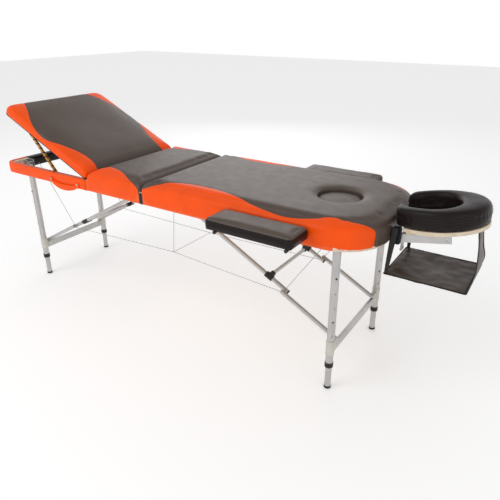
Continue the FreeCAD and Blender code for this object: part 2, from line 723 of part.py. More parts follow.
total = group(list(NODES.values()))
bb = total.BoundBox
print("nodes %d" % len(NODES))
print("bounds x %.1f %.1f  y %.1f %.1f  z %.1f %.1f" % (bb.XMin, bb.XMax, bb.YMin, bb.YMax, bb.ZMin, bb.ZMax))
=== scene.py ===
"""Portable massage table: upholstery, metal work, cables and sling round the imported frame."""
import json
import math

import bmesh
import bpy
import numpy as np
from mathutils import Matrix, Vector, noise

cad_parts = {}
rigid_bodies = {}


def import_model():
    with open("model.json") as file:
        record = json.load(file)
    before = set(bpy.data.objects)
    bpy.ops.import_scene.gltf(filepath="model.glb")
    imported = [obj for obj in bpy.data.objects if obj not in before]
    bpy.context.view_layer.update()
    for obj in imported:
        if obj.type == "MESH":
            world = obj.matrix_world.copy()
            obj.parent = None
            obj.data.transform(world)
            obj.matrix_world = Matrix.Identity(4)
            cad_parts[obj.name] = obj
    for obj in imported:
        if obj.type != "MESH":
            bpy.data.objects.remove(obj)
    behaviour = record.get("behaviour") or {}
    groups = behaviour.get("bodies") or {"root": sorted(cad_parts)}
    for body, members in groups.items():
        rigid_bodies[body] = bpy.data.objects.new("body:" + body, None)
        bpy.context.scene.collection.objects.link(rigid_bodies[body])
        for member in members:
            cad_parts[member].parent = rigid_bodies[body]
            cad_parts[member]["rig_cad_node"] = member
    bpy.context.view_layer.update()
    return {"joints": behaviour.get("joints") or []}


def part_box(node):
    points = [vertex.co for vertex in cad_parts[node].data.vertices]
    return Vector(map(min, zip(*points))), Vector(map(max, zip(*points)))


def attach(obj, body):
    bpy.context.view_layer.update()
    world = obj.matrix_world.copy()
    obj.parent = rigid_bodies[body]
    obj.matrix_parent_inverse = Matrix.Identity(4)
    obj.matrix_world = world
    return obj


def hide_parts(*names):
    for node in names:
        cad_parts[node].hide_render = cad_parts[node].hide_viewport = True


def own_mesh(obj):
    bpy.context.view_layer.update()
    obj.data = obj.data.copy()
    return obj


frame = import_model()
scene = bpy.context.scene
JOINTS = {j["name"]: j for j in frame["joints"]}

# ------------------------------------------------------------------ main sizes
# Lengths along the table are counted from the centre hinge, in metres.
HINGE = Vector(JOINTS["fold"]["pos_m"])
BACK_HINGE = Vector(JOINTS["backrest_tilt"]["pos_m"])
BACK_TILT = math.radians(25)
_, HEAD_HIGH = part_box("head_pad")
SEAT_LOW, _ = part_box("seat_pad")
RAIL_LOW, RAIL_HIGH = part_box("foot_frame")
UNDER = HINGE.z                      # underside of the rails
RAIL_TOP = RAIL_HIGH.z
PAD_TOP = HEAD_HIGH.z
HALF = HEAD_HIGH.y                   # half width over the vinyl
HEAD_LEN = HEAD_HIGH.x - HINGE.x
SEAT_LEN = HINGE.x - SEAT_LOW.x
BACK_LEN = 0.572
FOOT_LEN = HINGE.x - RAIL_LOW.x
HEAD_R = 0.1725                      # head end corners over the vinyl
OPEN_HALF = 0.2685                   # half width left open under the covers, between their lips


def at(x, y, z):
    """Point given from the centre hinge, in the row frame."""
    return Vector((x + HINGE.x, y, z))


# ------------------------------------------------------------------ mesh helpers
def obj_from(name, verts, faces, smooth=True):
    mesh = bpy.data.meshes.new(name)
    mesh.from_pydata([tuple(v) for v in verts], [], faces)
    mesh.validate()
    obj = bpy.data.objects.new(name, mesh)
    scene.collection.objects.link(obj)
    if smooth:
        mesh.shade_smooth()
    return obj


def coords(mesh):
    co = np.zeros(len(mesh.vertices) * 3)
    mesh.vertices.foreach_get("co", co)
    return co.reshape(-1, 3)


def set_coords(mesh, co):
    mesh.vertices.foreach_set("co", co.ravel())
    mesh.update()


def normals(mesh):
    n = np.zeros(len(mesh.vertices) * 3)
    mesh.vertex_normals.foreach_get("vector", n)
    return n.reshape(-1, 3)


def bake(obj):
    """Replace the mesh with what its modifiers make of it."""
    deps = bpy.context.evaluated_depsgraph_get()
    mesh = bpy.data.meshes.new_from_object(obj.evaluated_get(deps))
    obj.modifiers.clear()
    old = obj.data
    obj.data = mesh
    bpy.data.meshes.remove(old)
    mesh.shade_smooth()
    return obj


def drop(obj):
    bpy.data.objects.remove(obj)


def rounded_ring(x0, x1, w, r0, r1, inset, z, n=8):
    """Points round a plan with corner radius r0 at x0 and r1 at x1, drawn in by inset."""
    pts = []
    corners = [(x1, -w, r1, -90), (x1, w, r1, 0), (x0, w, r0, 90), (x0, -w, r0, 180)]
    for cx, cy, r, start in corners:
        rr = max(r - inset, 0.004)
        sx, sy = (1 if cx == x1 else -1), (1 if cy > 0 else -1)
        px = cx - sx * (inset + rr)
        py = cy - sy * (inset + rr)
        for k in range(n + 1):
            a = math.radians(start + 90 * k / n)
            pts.append(Vector((px + rr * math.cos(a), py + rr * math.sin(a), z)))
    return pts


def squared(value, power):
    """Sine or cosine bent so that a circle becomes a squarer oval."""
    return math.copysign(abs(value) ** power, value)


def loft(name, rings):
    """Closed surface through rings of equal point count."""
    n = len(rings[0])
    verts = [p for ring in rings for p in ring]
    faces = []
    for k in range(len(rings) - 1):
        for i in range(n):
            j = (i + 1) % n
            faces.append((k * n + i, k * n + j, (k + 1) * n + j, (k + 1) * n + i))
    faces.append(tuple(reversed(range(n))))
    last = (len(rings) - 1) * n
    faces.append(tuple(range(last, last + n)))
    return obj_from(name, verts, faces)


def voxel(obj, size):
    m = obj.modifiers.new("remesh", "REMESH")
    m.mode = "VOXEL"
    m.voxel_size = size
    m.use_smooth_shade = True
    return bake(obj)


def relax(obj, times):
    m = obj.modifiers.new("smooth", "SMOOTH")
    m.iterations = times
    return bake(obj)


CLOTH_FRAMES = 20                    # how long the cloth swells


def plump(obj, size, cap, hold, pressure=4.0):
    """Swell a closed form under pressure as cloth, by cap at most.

    hold(points) gives how firmly each point is kept, from 0 to 1.
    """
    voxel(obj, size)
    relax(obj, 4)
    start = coords(obj.data)
    outward = normals(obj.data)
    firm = np.clip(hold(start), 0, 1)
    group = obj.vertex_groups.new(name="held")
    for i in np.nonzero(firm > 0)[0]:
        group.add([int(i)], float(firm[i]), "REPLACE")
    m = obj.modifiers.new("cloth", "CLOTH")
    s = m.settings
    s.quality = 4
    s.mass = 0.4
    s.tension_stiffness = 18
    s.compression_stiffness = 18
    s.shear_stiffness = 8
    s.bending_stiffness = 1.2
    s.use_pressure = True
    s.uniform_pressure_force = pressure
    s.vertex_group_mass = "held"
    s.effector_weights.gravity = 0
    m.point_cache.frame_start = 1
    m.point_cache.frame_end = CLOTH_FRAMES
    for f in range(1, CLOTH_FRAMES + 1):
        scene.frame_set(f)
    bake(obj)
    scene.frame_set(1)
    # the foam keeps the cloth from sinking in, so only its swelling is used
    swell = ((coords(obj.data) - start) * outward).sum(axis=1)
    swell = cap * np.tanh(np.maximum(swell, 0) / cap)
    set_coords(obj.data, start + outward * swell[:, None])
    obj.vertex_groups.clear()
    return relax(obj, 3)


def held_below(level, fade):
    """For plump: free above level, firm from fade under it."""
    return lambda p: np.clip((level - p[:, 2]) / fade, 0, 1)


def split_at(obj, field):
    """Cut the mesh along field(points) = 0, so that edges lie on that line."""
    bm = bmesh.new()
    bm.from_mesh(obj.data)
    bm.verts.ensure_lookup_table()
    value = field(np.array([v.co for v in bm.verts]))
    sign = {v: float(value[i]) for i, v in enumerate(bm.verts)}
    for v, d in sign.items():
        if abs(d) < 1e-5:
            sign[v] = 1e-5
    fresh = set()
    for e in list(bm.edges):
        a, b = e.verts
        da, db = sign[a], sign[b]
        if da * db < 0:
            _, v = bmesh.utils.edge_split(e, a, da / (da - db))
            sign[v] = 0.0
            fresh.add(v)
    for f in list(bm.faces):
        cut = [v for v in f.verts if v in fresh]
        if len(cut) == 2:
            try:
                bmesh.utils.face_split(f, cut[0], cut[1])
            except ValueError:
                pass
    bm.to_mesh(obj.data)
    bm.free()
    return obj


def keep_faces(obj, name, wanted):
    """New object with the faces whose centre passes wanted(centres)."""
    bm = bmesh.new()
    bm.from_mesh(obj.data)
    bm.faces.ensure_lookup_table()
    centres = np.array([f.calc_center_median() for f in bm.faces])
    keep = wanted(centres)
    bmesh.ops.delete(bm, geom=[f for i, f in enumerate(bm.faces) if not keep[i]], context="FACES")
    mesh = bpy.data.meshes.new(name)
    bm.to_mesh(mesh)
    bm.free()
    mesh.shade_smooth()
    out = bpy.data.objects.new(name, mesh)
    scene.collection.objects.link(out)
    return out


def curve_through(points):
    """Smooth function through (position, value) points."""
    xs = np.array([p[0] for p in points])
    ys = np.array([p[1] for p in points])
    slope = np.gradient(ys, xs)

    def f(x):
        x = np.clip(x, xs[0], xs[-1])
        k = np.clip(np.searchsorted(xs, x) - 1, 0, len(xs) - 2)
        h = xs[k + 1] - xs[k]
        t = (x - xs[k]) / h
        a = (2 * t ** 3 - 3 * t ** 2 + 1) * ys[k] + (t ** 3 - 2 * t ** 2 + t) * h * slope[k]
        b = (3 * t ** 2 - 2 * t ** 3) * ys[k + 1] + (t ** 3 - t ** 2) * h * slope[k + 1]
        return a + b

    return f


def ripple(points, scale, seed):
    """Slow uneven waves, from -1 to 1, that real vinyl shows over foam."""
    out = np.zeros(len(points))
    for i, p in enumerate(points):
        out[i] = noise.noise(Vector((p[0] * scale + seed, p[1] * scale, p[2] * scale)))
    return out


def tube(name, points, radius):
    """Round tube along points."""
    sides = 8
    pts = [Vector(p) for p in points]
    rings = []
    side = None
    for k, p in enumerate(pts):
        d = (pts[min(k + 1, len(pts) - 1)] - pts[max(k - 1, 0)]).normalized()
        if side is None:
            up = Vector((0, 0, 1)) if abs(d.z) < 0.9 else Vector((1, 0, 0))
            side = d.cross(up).normalized()
        side = (side - d * side.dot(d)).normalized()
        other = d.cross(side)
        ring = []
        for i in range(sides):
            a = 2 * math.pi * i / sides
            ring.append(p + side * radius * math.cos(a) + other * radius * math.sin(a))
        rings.append(ring)
    return loft(name, rings)


# ------------------------------------------------------------------ materials
def new_material(name):
    mat = bpy.data.materials.new(name)
    mat.use_nodes = True
    tree = mat.node_tree
    return mat, tree, tree.nodes["Principled BSDF"]


def tex(tree, kind, scale, detail=2.0, stretch=(1, 1, 1)):
    """Texture node in object space, in metres."""
    coord = tree.nodes.new("ShaderNodeTexCoord")
    mapping = tree.nodes.new("ShaderNodeMapping")
    mapping.inputs["Scale"].default_value = stretch
    node = tree.nodes.new(kind)
    node.inputs["Scale"].default_value = scale
    if "Detail" in node.inputs:
        node.inputs["Detail"].default_value = detail
    tree.links.new(coord.outputs["Object"], mapping.inputs["Vector"])
    tree.links.new(mapping.outputs["Vector"], node.inputs["Vector"])
    return node


def ramp(tree, source, stops):
    node = tree.nodes.new("ShaderNodeValToRGB")
    node.color_ramp.elements[0].position = stops[0][0]
    node.color_ramp.elements[0].color = (*stops[0][1], 1)
    node.color_ramp.elements[1].position = stops[-1][0]
    node.color_ramp.elements[1].color = (*stops[-1][1], 1)
    for pos, col in stops[1:-1]:
        e = node.color_ramp.elements.new(pos)
        e.color = (*col, 1)
    tree.links.new(source, node.inputs["Fac"])
    return node


def bump(tree, bsdf, layers):
    """Chain of bumps; each layer is (height output, strength, distance in metres)."""
    before = None
    for source, strength, distance in layers:
        b = tree.nodes.new("ShaderNodeBump")
        b.inputs["Strength"].default_value = strength
        b.inputs["Distance"].default_value = distance
        tree.links.new(source, b.inputs["Height"])
        if before:
            tree.links.new(before.outputs["Normal"], b.inputs["Normal"])
        before = b
    tree.links.new(before.outputs["Normal"], bsdf.inputs["Normal"])


def drift(tree, bsdf, source, colour, low, high, ends=(0.3, 0.7)):
    """Base colour that drifts between a darker and a lighter shade."""
    dark = tuple(c * low for c in colour)
    light = tuple(min(c * high, 1) for c in colour)
    tint = ramp(tree, source, [(ends[0], dark), (ends[1], light)])
    tree.links.new(tint.outputs["Color"], bsdf.inputs["Base Color"])


def rough(tree, bsdf, source, low, high):
    r = ramp(tree, source, [(0.25, (low,) * 3), (0.75, (high,) * 3)])
    tree.links.new(r.outputs["Color"], bsdf.inputs["Roughness"])


def vinyl(name, colour, roughness, gloss):
    """Upholstery vinyl: pebbled grain, slow colour drift, satin shine."""
    mat, tree, bsdf = new_material(name)
    cloud = tex(tree, "ShaderNodeTexNoise", 14, 4)
    drift(tree, bsdf, cloud.outputs["Fac"], colour, 0.95, 1.05)
    grain = tex(tree, "ShaderNodeTexVoronoi", 620)
    fine = tex(tree, "ShaderNodeTexNoise", 900, 3)
    soft = tex(tree, "ShaderNodeTexNoise", 30, 3)
    bump(tree, bsdf, [(soft.outputs["Fac"], 0.25, 0.0015),
                      (grain.outputs["Distance"], 0.35, 0.00025), (fine.outputs["Fac"], 0.2, 0.0001)])
    rough(tree, bsdf, soft.outputs["Fac"], roughness - 0.04, roughness + 0.05)
    bsdf.inputs["Specular IOR Level"].default_value = gloss
    return mat


def metal(name, colour, roughness, stretch, metallic):
    """Drawn or brushed metal with fine lines along one axis."""
    mat, tree, bsdf = new_material(name)
    lines = tex(tree, "ShaderNodeTexNoise", 260, 3, stretch)
    smudge = tex(tree, "ShaderNodeTexNoise", 22, 3)
    drift(tree, bsdf, smudge.outputs["Fac"], colour, 0.93, 1.05)
    rough(tree, bsdf, lines.outputs["Fac"], roughness - 0.06, roughness + 0.08)
    bump(tree, bsdf, [(lines.outputs["Fac"], 0.08, 0.0001)])
    bsdf.inputs["Metallic"].default_value = metallic
    return mat


def moulded(name, colour, roughness):
    mat, tree, bsdf = new_material(name)
    cloud = tex(tree, "ShaderNodeTexNoise", 45, 3)
    fine = tex(tree, "ShaderNodeTexNoise", 1400, 2)
    drift(tree, bsdf, cloud.outputs["Fac"], colour, 0.9, 1.08)
    rough(tree, bsdf, cloud.outputs["Fac"], roughness - 0.05, roughness + 0.06)
    bump(tree, bsdf, [(fine.outputs["Fac"], 0.15, 0.0001)])
    bsdf.inputs["Specular IOR Level"].default_value = 0.35
    return mat


def wood(name, pale, deep, stretch, roughness=0.5):
    """Lacquered wood with grain running along one axis."""
    mat, tree, bsdf = new_material(name)
    rings = tex(tree, "ShaderNodeTexNoise", 60, 5, stretch)
    pores = tex(tree, "ShaderNodeTexNoise", 420, 2, stretch)
    tint = ramp(tree, rings.outputs["Fac"], [(0.32, deep), (0.5, pale), (0.72, deep)])
    tree.links.new(tint.outputs["Color"], bsdf.inputs["Base Color"])
    rough(tree, bsdf, pores.outputs["Fac"], roughness - 0.08, roughness + 0.1)
    bump(tree, bsdf, [(pores.outputs["Fac"], 0.2, 0.0002)])
    return mat


def woven(name, colour, scale, roughness):
    """Webbing: a fine crossed weave."""
    mat, tree, bsdf = new_material(name)
    cloud = tex(tree, "ShaderNodeTexNoise", 18, 3)
    drift(tree, bsdf, cloud.outputs["Fac"], colour, 0.8, 1.2)
    along = tex(tree, "ShaderNodeTexWave", scale)
    across = tex(tree, "ShaderNodeTexWave", scale)
    across.bands_direction = "Y"
    bump(tree, bsdf, [(along.outputs["Fac"], 0.3, 0.0003), (across.outputs["Fac"], 0.3, 0.0003)])
    rough(tree, bsdf, cloud.outputs["Fac"], roughness - 0.06, roughness + 0.06)
    return mat


def thread(name, colour):
    """Stranded wire or sewing thread: slanting strands."""
    mat, tree, bsdf = new_material(name)
    wave = tex(tree, "ShaderNodeTexWave", 700, 1, (1, 1, 0.6))
    drift(tree, bsdf, wave.outputs["Fac"], colour, 0.6, 1.2, (0.2, 0.8))
    bump(tree, bsdf, [(wave.outputs["Fac"], 0.4, 0.0002)])
    bsdf.inputs["Roughness"].default_value = 0.4
    return mat


def math_node(tree, kind, a, b=None):
    node = tree.nodes.new("ShaderNodeMath")
    node.operation = kind
    for socket, value in ((node.inputs[0], a), (node.inputs[1], b)):
        if isinstance(value, float):
            socket.default_value = value
        elif value is not None:
            tree.links.new(value, socket)
    return node.outputs[0]


def laid_over(tree, base, mask, colour):
    """Base with colour over it where mask is 1."""
    mix = tree.nodes.new("ShaderNodeMix")
    mix.data_type = "RGBA"
    first, second, result = 6, 7, 2      # the Mix node's sockets for colours
    tree.links.new(mask, mix.inputs[0])
    tree.links.new(base, mix.inputs[first])
    mix.inputs[second].default_value = colour
    return mix.outputs[result]


def wrapped_rail(name):
    """Bare wood inside, vinyl on the outer faces that the upholstery is pulled over, and a painted
    shade band in the gap at the hinge.
    """
    mat = wood(name, (0.74, 0.60, 0.48), (0.62, 0.45, 0.34), ALONG_X)
    tree = mat.node_tree
    bsdf = tree.nodes["Principled BSDF"]
    before = bsdf.inputs["Base Color"].links[0].from_socket
    place = tree.nodes.new("ShaderNodeSeparateXYZ")
    tree.links.new(tree.nodes.new("ShaderNodeTexCoord").outputs["Object"], place.inputs[0])
    out = math_node(tree, "GREATER_THAN", math_node(tree, "ABSOLUTE", place.outputs["Y"]), 0.2735)
    along = math_node(tree, "SUBTRACT", place.outputs["X"], float(HINGE.x))
    from_hinge = math_node(tree, "ABSOLUTE", along)
    # Painted shade: the rail is painted near black within 10 mm of the hinge, where shade falls in the
    # gap between the two halves.
    hinge_gap_shade = math_node(tree, "LESS_THAN", from_hinge, 0.010)
    for mask, colour in ((out, (0.88, 0.10, 0.004, 1)), (hinge_gap_shade, (0.010, 0.008, 0.007, 1))):
        before = laid_over(tree, before, mask, colour)
    tree.links.new(before, bsdf.inputs["Base Color"])
    return mat


def painted_notch_shade(mat):
    """Painted shade of notches across a wooden prop, every 18 mm of its height: the grooves are not
    modelled, only their shade is painted.
    """
    tree = mat.node_tree
    bsdf = tree.nodes["Principled BSDF"]
    grain = bsdf.inputs["Base Color"].links[0].from_socket
    wave = tex(tree, "ShaderNodeTexWave", 17.5, 1)
    wave.bands_direction = "Z"
    # Painted shade: near-black bands where the notch grooves would lie in shade.
    notch_shade = math_node(tree, "GREATER_THAN", wave.outputs["Fac"], 0.86)
    cut = laid_over(tree, grain, notch_shade, (0.03, 0.018, 0.010, 1))
    tree.links.new(cut, bsdf.inputs["Base Color"])
    return mat


ALONG_X = (0.06, 1, 1)               # grain drawn out along one axis
ALONG_Z = (1, 1, 0.06)
MAT = {
    "orange": vinyl("orange_vinyl", (0.92, 0.084, 0.001), 0.40, 0.18),
    "dark": vinyl("dark_vinyl", (0.082, 0.057, 0.045), 0.38, 0.34),
    "black": vinyl("black_vinyl", (0.011, 0.006, 0.006), 0.34, 0.18),
    "alu": metal("anodised_tube", (0.50, 0.49, 0.48), 0.32, ALONG_Z, 0.8),
    "alu_brace": metal("anodised_brace", (0.52, 0.51, 0.50), 0.32, ALONG_X, 0.8),
    "steel": metal("zinc_steel", (0.42, 0.42, 0.42), 0.32, ALONG_Z, 0.85),
    "black_steel": moulded("black_steel", (0.020, 0.018, 0.018), 0.38),
    "cream": moulded("cream_plastic", (0.56, 0.54, 0.49), 0.42),
    "black_plastic": moulded("black_plastic", (0.012, 0.012, 0.012), 0.40),
    "rubber": moulded("rubber", (0.014, 0.014, 0.014), 0.75),
    "ply": wood("plywood", (0.72, 0.53, 0.36), (0.56, 0.37, 0.22), ALONG_X),
    "cream_deck": wood("deck_board", (0.70, 0.60, 0.45), (0.58, 0.47, 0.33), ALONG_X),
    "rail": wood("rail_wood", (0.74, 0.60, 0.48), (0.62, 0.45, 0.34), ALONG_X),
    # prop wood with painted shade for its notches
    "prop": painted_notch_shade(wood("prop_wood", (0.52, 0.27, 0.045), (0.34, 0.15, 0.02), ALONG_Z, 0.4)),
    "sling": vinyl("sling_cloth", (0.055, 0.036, 0.027), 0.38, 0.4),
    "rail_wrapped": wrapped_rail("wrapped_rail"),
    "webbing": woven("webbing", (0.014, 0.012, 0.012), 300, 0.75),
    "wire": thread("steel_wire", (0.42, 0.42, 0.43)),
    "stitch": thread("stitching", (0.02, 0.018, 0.018)),
}


def finish_piece(obj, mat, body, stands_for=()):
    obj.data.materials.clear()
    obj.data.materials.append(MAT[mat])
    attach(obj, body)
    for node in stands_for:
        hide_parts(node)
    return obj


# ------------------------------------------------------------------ padded sections
SHOULDER = 0.052        # how far in the pads' tops fall towards their edges
PUFF = 0.006            # the cloth swells by about this much


def section_rings(x0, x1, r0, r1, low, top, lean0, lean1):
    """Rings of a wrapped section: tucked lip, straight side, full edge, rounded shoulder."""
    edge = top - 0.027
    shape = [(0.010, low), (0.004, low + 0.001), (0.001, low + 0.005), (0.0, low + 0.012)]
    if edge - low > 0.03:
        shape += [(0.0, low + 0.030), (-0.001, edge - 0.012)]
    for k in range(9):
        a = math.radians(90 * k / 8)
        shape.append((SHOULDER * (1 - math.cos(a)), edge + (top - edge) * math.sin(a)))
    rings = []
    for inset, z in shape:
        up = max(z - RAIL_TOP, 0)
        ring = rounded_ring(x0 + lean0 * up, x1 - lean1 * up, HALF - 0.0025, r0, r1, inset, z)
        rings.append(ring)
    return rings


def section(name, x0, x1, r0, r1, low, top, lean0=0.0, lean1=0.0):
    body = loft(name, section_rings(x0, x1, r0, r1, low, top - PUFF, lean0, lean1))
    return plump(body, 0.0065, PUFF * 1.3, held_below(low + 0.045, 0.02))


def finish_top(obj, seam):
    """Slow ripples and the sunk seam line on a padded section."""
    p = coords(obj.data)
    n = normals(obj.data)
    d = seam(p)
    move = 0.0006 * ripple(p, 11, 3.0) - 0.0014 * np.exp(-(d / 0.0045) ** 2)
    set_coords(obj.data, p + n * move[:, None])


def seam_field(points):
    """Signed distance from the seam on plan: positive on the orange side panels."""
    f = curve_through(points)

    def field(p):
        inset = HALF - np.abs(p[:, 1])
        return f(p[:, 0]) - inset

    return field


def hollow(x0, x1, w, low, r):
    """Chooses the faces under a section that the rails leave open, with corners r at x1."""
    def wanted(c):
        y = np.abs(c[:, 1])
        under = (c[:, 2] < low + 0.004) & (c[:, 0] > x0) & (c[:, 0] < x1) & (y < w)
        corner = (c[:, 0] > x1 - r) & (y > w - r)
        outside = np.hypot(c[:, 0] - x1 + r, y - w + r) > r
        return ~(under & ~(corner & outside))

    return wanted


def panels(whole, field, tag, body, node, place):
    """Dark top, two orange side panels; each is its own piece."""
    split_at(whole, field)
    choices = [
        ("top_cover", lambda c: field(c) < 0, "dark"),
        ("side_cover_near", lambda c: (field(c) >= 0) & (c[:, 1] < 0), "orange"),
        ("side_cover_far", lambda c: (field(c) >= 0) & (c[:, 1] > 0), "orange"),
    ]
    pieces = [keep_faces(whole, tag + "_" + name, wanted) for name, wanted, _ in choices]
    drop(whole)
    for obj, (_, _, mat) in zip(pieces, choices):
        obj.data.transform(place)
        finish_piece(obj, mat, body)
    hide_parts(node)


TO_ROW = Matrix.Translation((HINGE.x, 0, 0))

# the seams: distance along the table, how far the seam lies in from the edge
HEAD_SEAM = [(0.0, 0.004), (0.03, 0.006), (0.10, 0.043), (0.19, 0.075), (0.275, 0.080),
             (0.36, 0.070), (0.46, 0.045), (0.56, 0.022), (0.655, 0.014), (0.71, 0.021),
             (0.80, 0.053), (0.86, 0.064), (0.895, 0.075), (0.92, 0.085), (0.937, 0.0985),
             (0.953, 0.105), (0.99, 0.11)]
SEAT_SEAM = [(-0.33, 0.062), (-0.316, 0.070), (-0.27, 0.081), (-0.21, 0.077), (-0.135, 0.050),
             (-0.055, 0.015), (-0.015, 0.004), (0.0, 0.003)]
BACK_SEAM = [(-0.90, 0.115), (-0.874, 0.103), (-0.80, 0.069), (-0.73, 0.033), (-0.66, 0.0135),
             (-0.585, 0.0135), (-0.52, 0.040), (-0.445, 0.070), (-0.37, 0.081), (-0.32, 0.073)]


def face_hole(obj, cx, a, b, floor):
    """Sunk oval opening with a soft rim, cut through the top and walled down to floor."""
    def rho(p):
        return np.sqrt(((p[:, 0] - cx) / a) ** 2 + (p[:, 1] / b) ** 2)

    p = coords(obj.data)
    above = p[:, 2] > RAIL_TOP
    away = (rho(p) - 1) * (a + b) / 2
    p[:, 2] -= np.where(above, 0.0095 * np.exp(-np.clip(away, 0, 1) / 0.014), 0)
    set_coords(obj.data, p)
    split_at(obj, lambda q: np.where(q[:, 2] > RAIL_TOP, rho(q) - 1, 1.0))
    bm = bmesh.new()
    bm.from_mesh(obj.data)
    gone = []
    for f in bm.faces:
        c = np.array([f.calc_center_median()])
        if c[0, 2] > RAIL_TOP and rho(c)[0] < 1:
            gone.append(f)
    bmesh.ops.delete(bm, geom=gone, context="FACES")
    rim = [e for e in bm.edges if e.is_boundary]
    steps = [(0.0005, 0.002), (0.0012, 0.004), (0.0016, 0.008), (0.0016, 0.014), (0.0016, 0.03)]
    base = {v: v.co.copy() for e in rim for v in e.verts}
    start = dict(base)
    for inward, down in steps:
        made = bmesh.ops.extrude_edge_only(bm, edges=rim)["geom"]
        fresh = [g for g in made if isinstance(g, bmesh.types.BMVert)]
        nearest = {}
        for v in fresh:
            old = min(base, key=lambda w: (w.co - v.co).length_squared)
            nearest[v] = start[old]
        for v, origin in nearest.items():
            towards = Vector((cx - origin.x, -origin.y, 0)).normalized()
            v.co = origin + towards * inward - Vector((0, 0, down))
            if v.co.z < floor:
                v.co.z = floor
        rim = [g for g in made if isinstance(g, bmesh.types.BMEdge)]
        base = {v: v.co for v in nearest}
        start = nearest
    bm.normal_update()
    bm.to_mesh(obj.data)
    bm.free()


def head_section():
    whole = section("head_cover", 0.0015, HEAD_LEN, 0.006, HEAD_R, UNDER - 0.0012, PAD_TOP + 0.004)
    field = seam_field(HEAD_SEAM)
    finish_top(whole, field)
    hole_low, hole_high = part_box("face_plug")
    cx = (hole_low.x + hole_high.x) / 2 - HINGE.x
    a = (hole_high.x - hole_low.x) / 2 + 0.0012
    b = hole_high.y + 0.0012
    face_hole(whole, cx, a, b, RAIL_TOP + 0.004)
    wanted = hollow(0.012, HEAD_LEN - 0.015, OPEN_HALF, UNDER, HEAD_R - 0.018)
    open_under = keep_faces(whole, "head_open", wanted)
    drop(whole)
    panels(open_under, field, "head", "head_half", "head_pad", TO_ROW)


def seat_section():
    lean = math.tan(math.radians(14))
    whole = section("seat_cover", -SEAT_LEN, -0.0015, 0.006, 0.006, UNDER - 0.0012,
                    PAD_TOP + 0.003, lean0=lean)
    field = seam_field(SEAT_SEAM)
    finish_top(whole, field)

    def wanted(c):
        open_end = (c[:, 0] < -SEAT_LEN + 0.02) & (c[:, 2] < RAIL_TOP) & (np.abs(c[:, 1]) < 0.2585)
        under = (c[:, 2] < UNDER + 0.004) & (np.abs(c[:, 1]) < OPEN_HALF) & (c[:, 0] < -0.012)
        return ~(open_end | under)

    open_under = keep_faces(whole, "seat_open", wanted)
    drop(whole)
    panels(open_under, field, "seat", "foot_half", "seat_pad", TO_ROW)


def back_section():
    low = BACK_HINGE.z - 0.0012
    hinge_x = BACK_HINGE.x - HINGE.x
    lean = math.tan(math.radians(17))
    whole = section("back_cover", hinge_x - BACK_LEN, hinge_x - 0.002, 0.050, 0.010, low,
                    PAD_TOP + 0.001, lean1=lean)
    field = seam_field(BACK_SEAM)
    finish_top(whole, field)

    def wanted(c):
        under = c[:, 2] < low + 0.004
        inside = (np.abs(c[:, 1]) < 0.262) & (c[:, 0] > hinge_x - BACK_LEN + 0.02)
        return ~(under & inside & (c[:, 0] < hinge_x - 0.014))

    open_under = keep_faces(whole, "back_open", wanted)
    drop(whole)
    tilt = Matrix.Rotation(BACK_TILT, 4, "Y")
    place = Matrix.Translation(BACK_HINGE) @ tilt @ Matrix.Translation(-BACK_HINGE) @ TO_ROW
    panels(open_under, field, "back", "backrest", "backrest_pad", place)


head_section()
seat_section()
back_section()


# ------------------------------------------------------------------ wrapped rails
def sweep(name, outline, section_points):
    """Band swept along a plan outline; section points are (inset from the outline, z)."""
    last = len(outline) - 1
    rings = []
    for k in range(last + 1):
        d = (outline[min(k + 1, last)] - outline[max(k - 1, 0)]).normalized()
        inward = Vector((-d.y, d.x, 0))
        rings.append([outline[k] + inward * i + Vector((0, 0, z)) for i, z in section_points])
    return loft(name, rings)


def refined(points, step):
    """Points along the polyline, no further apart than step."""
    out = [Vector(points[0])]
    for a, b in zip(points[:-1], points[1:]):
        a, b = Vector(a), Vector(b)
        count = max(1, math.ceil((b - a).length / step))
        for k in range(1, count + 1):
            out.append(a.lerp(b, k / count))
    return out


def wrap_section(out, inner):
    """Closed section of a thin wrap over a rail, standing out by out, reaching in by inner."""
    top, low = RAIL_TOP + 0.0003 + out / 8, UNDER - 0.0010 - out / 2
    pts = [(inner, top)]
    for k in range(6):
        a = math.radians(90 * k / 5)
        pts.append((0.005 - out - 0.005 * math.sin(a), top - 0.005 * (1 - math.cos(a))))
    pts.append((-out - 0.0008, (top + low) / 2 + 0.006))
    pts.append((-out - 0.0008, (top + low) / 2 - 0.006))
    for k in range(6):
        a = math.radians(90 * k / 5)
        pts.append((0.006 - out - 0.006 * math.cos(a), low + 0.006 * (1 - math.sin(a))))
    pts += [(inner, low), (inner, low + 0.0016), (0.004, low + 0.004)]
    pts += [(0.004, top - 0.004), (inner, top - 0.0016)]
    return pts


def end_section():
    """Closed section of the wrap round the end rail and the leg block behind it."""
    top, low, block = RAIL_TOP + 0.0008, UNDER - 0.0022, UNDER + 0.0142
    outside = [(0.044, top), (0.003, top), (-0.001, top - 0.002), (-0.0033, top - 0.007),
               (-0.0038, (top + low) / 2), (-0.0035, low + 0.008), (-0.0015, low + 0.002)]
    inside = [(0.004, low), (0.022, low), (0.0236, low + 0.002), (0.0236, block), (0.0446, block),
              (0.0456, block + 0.0014), (0.0456, top - 0.002)]
    return outside + inside


